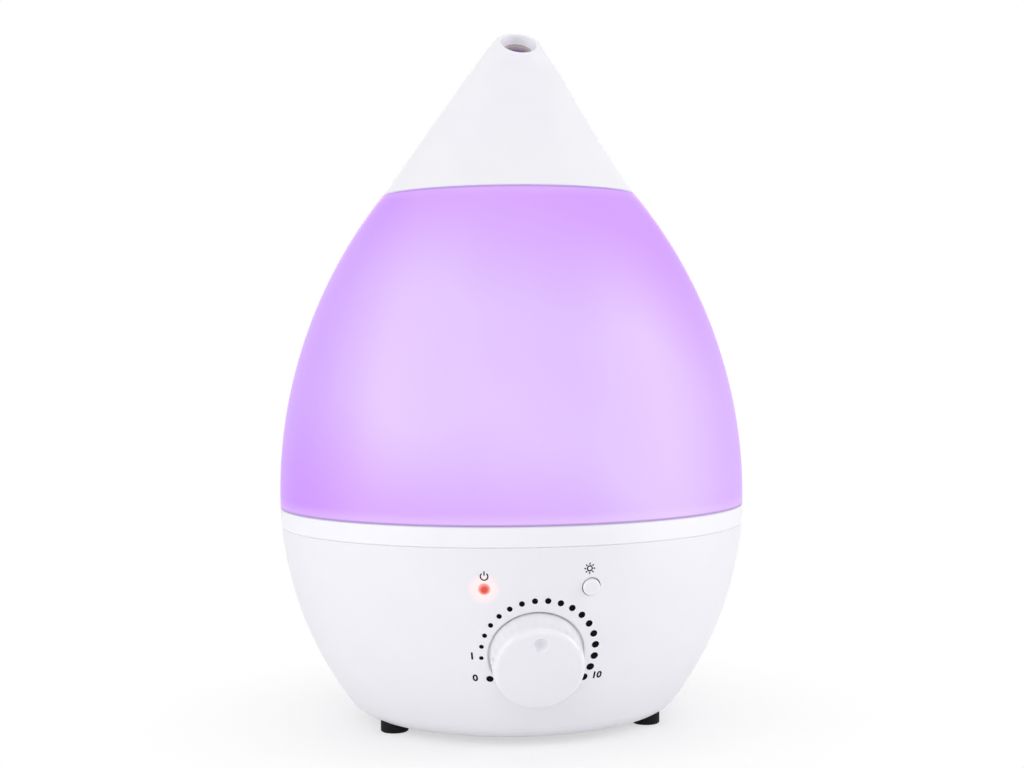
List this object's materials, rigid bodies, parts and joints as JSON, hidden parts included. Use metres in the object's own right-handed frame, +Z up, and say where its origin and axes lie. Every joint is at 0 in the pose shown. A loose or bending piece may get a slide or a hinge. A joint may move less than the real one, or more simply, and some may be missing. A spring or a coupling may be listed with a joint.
{
  "type": "cool mist humidifier",
  "caption": "Drop-shaped ultrasonic humidifier: white base with a dial, light button and power light, frosted glowing water tank, and a leaning mist lid.",
  "frame": {"origin": "on the table, on the axis of the drop, midway between the three feet", "axes": "+Z up, the front panel with the dial faces -Y, +X to the right of a person facing the front"},
  "size_m": [0.17, 0.1738, 0.2487],
  "materials": {
    "white_abs": "glossy moulded white",
    "inner_white_abs": "satin moulded white",
    "grey_abs": "satin moulded warm grey",
    "frosted_tank": "frosted translucent, lit lilac",
    "black_rubber": "matt",
    "silicone": "soft translucent white",
    "steel": "plated",
    "transducer_face": "polished face",
    "clear_lens": "clear",
    "red_lens": "red, lit",
    "circuit_board": "solder mask",
    "white_chip": "moulded",
    "black_plastic": "moulded",
    "heatsink_metal": "extruded",
    "copper_windings": "enamelled wire",
    "zinc_can": "plated can",
    "ceramic_magnet": "sintered",
    "wire_insulation": "smooth"
  },
  "bodies": {
    "base": {"base_housing": "white_abs", "foot_pads": "black_rubber", "basin_tray": "white_abs", "bottom_cover": "inner_white_abs", "cover_screws": "steel", "transducer_seal": "silicone", "transducer_disc": "transducer_face", "transducer_clamp": "steel", "clamp_screws": "steel", "led_lenses": "clear_lens", "led_board": "circuit_board", "led_chips": "white_chip", "led_board_screws": "steel", "fan_frame": "black_plastic", "fan_coils": "copper_windings", "air_duct": "inner_white_abs", "fan_screws": "steel", "float_clip": "inner_white_abs", "reed_switch": "clear_lens", "driver_board": "circuit_board", "board_screws": "steel", "heatsink": "heatsink_metal", "power_transistor": "black_plastic", "capacitors": "black_plastic", "inductor": "black_plastic", "lead_connectors": "white_chip", "potentiometer": "zinc_can", "pot_nut": "steel", "panel_board": "circuit_board", "panel_screws": "steel", "push_switch": "black_plastic", "power_lens": "red_lens", "power_led": "red_lens", "dc_jack": "black_plastic", "jack_screws": "steel", "lead_wires": "wire_insulation"},
    "dial": {"knob": "white_abs", "pot_shaft": "steel"},
    "light_button": {"button_cap": "white_abs", "switch_plunger": "black_plastic"},
    "fan": {"fan_rotor": "black_plastic"},
    "water_float": {"float": "inner_white_abs", "float_magnet": "ceramic_magnet"},
    "tank": {"tank_shell": "frosted_tank", "tank_bottom": "frosted_tank"},
    "cap": {"filler_cap": "inner_white_abs", "cap_gasket": "silicone", "valve_spring": "steel"},
    "valve": {"valve_plunger": "inner_white_abs", "valve_seal": "silicone"},
    "seal_ring": {"lid_seal": "silicone"},
    "lid": {"mist_lid": "white_abs", "drip_baffle": "grey_abs"}
  },
  "joints": [
    {"name": "knob_turn", "type": "hinge", "parent": "base", "child": "dial", "pos_m": [0, -0.07555, 0.0343], "axis": [0, -0.9244, -0.3814], "range_deg": [-124.4, 124.4]},
    {"name": "button_press", "type": "slide", "parent": "base", "child": "light_button", "axis": [0, 0.98, 0.1991], "range_m": [0, 0.0015], "stiffness_N_per_m": 400},
    {"name": "fan_spin", "type": "hinge", "parent": "base", "child": "fan", "pos_m": [-0.02599, 0.002, 0.015], "axis": [0, 0, 1], "continuous": true},
    {"name": "float_rise", "type": "slide", "parent": "base", "child": "water_float", "axis": [0, 0, 1], "range_m": [0, 0.006]},
    {"name": "tank_lift", "type": "slide", "parent": "base", "child": "tank", "axis": [0, 0, 1], "range_m": [0, 0.1]},
    {"name": "cap_turn", "type": "hinge", "parent": "tank", "child": "cap", "pos_m": [0, 0.03999, 0.07], "axis": [0, 0, 1], "range_deg": [0, 60]},
    {"name": "valve_close", "type": "slide", "parent": "cap", "child": "valve", "axis": [0, 0, -1], "range_m": [0, 0.003], "deforming": ["valve_spring"]},
    {"name": "lid_lift", "type": "slide", "parent": "tank", "child": "seal_ring", "axis": [0, 0, 1], "range_m": [0, 0.07]},
    {"name": "lid_turn", "type": "hinge", "parent": "seal_ring", "child": "lid", "pos_m": [0, 0, 0.188], "axis": [0, 0, 1], "continuous": true}
  ],
  "couplings": [
    {"joint": "valve_close", "follows": "tank_lift", "ratio": 0.03}
  ]
}
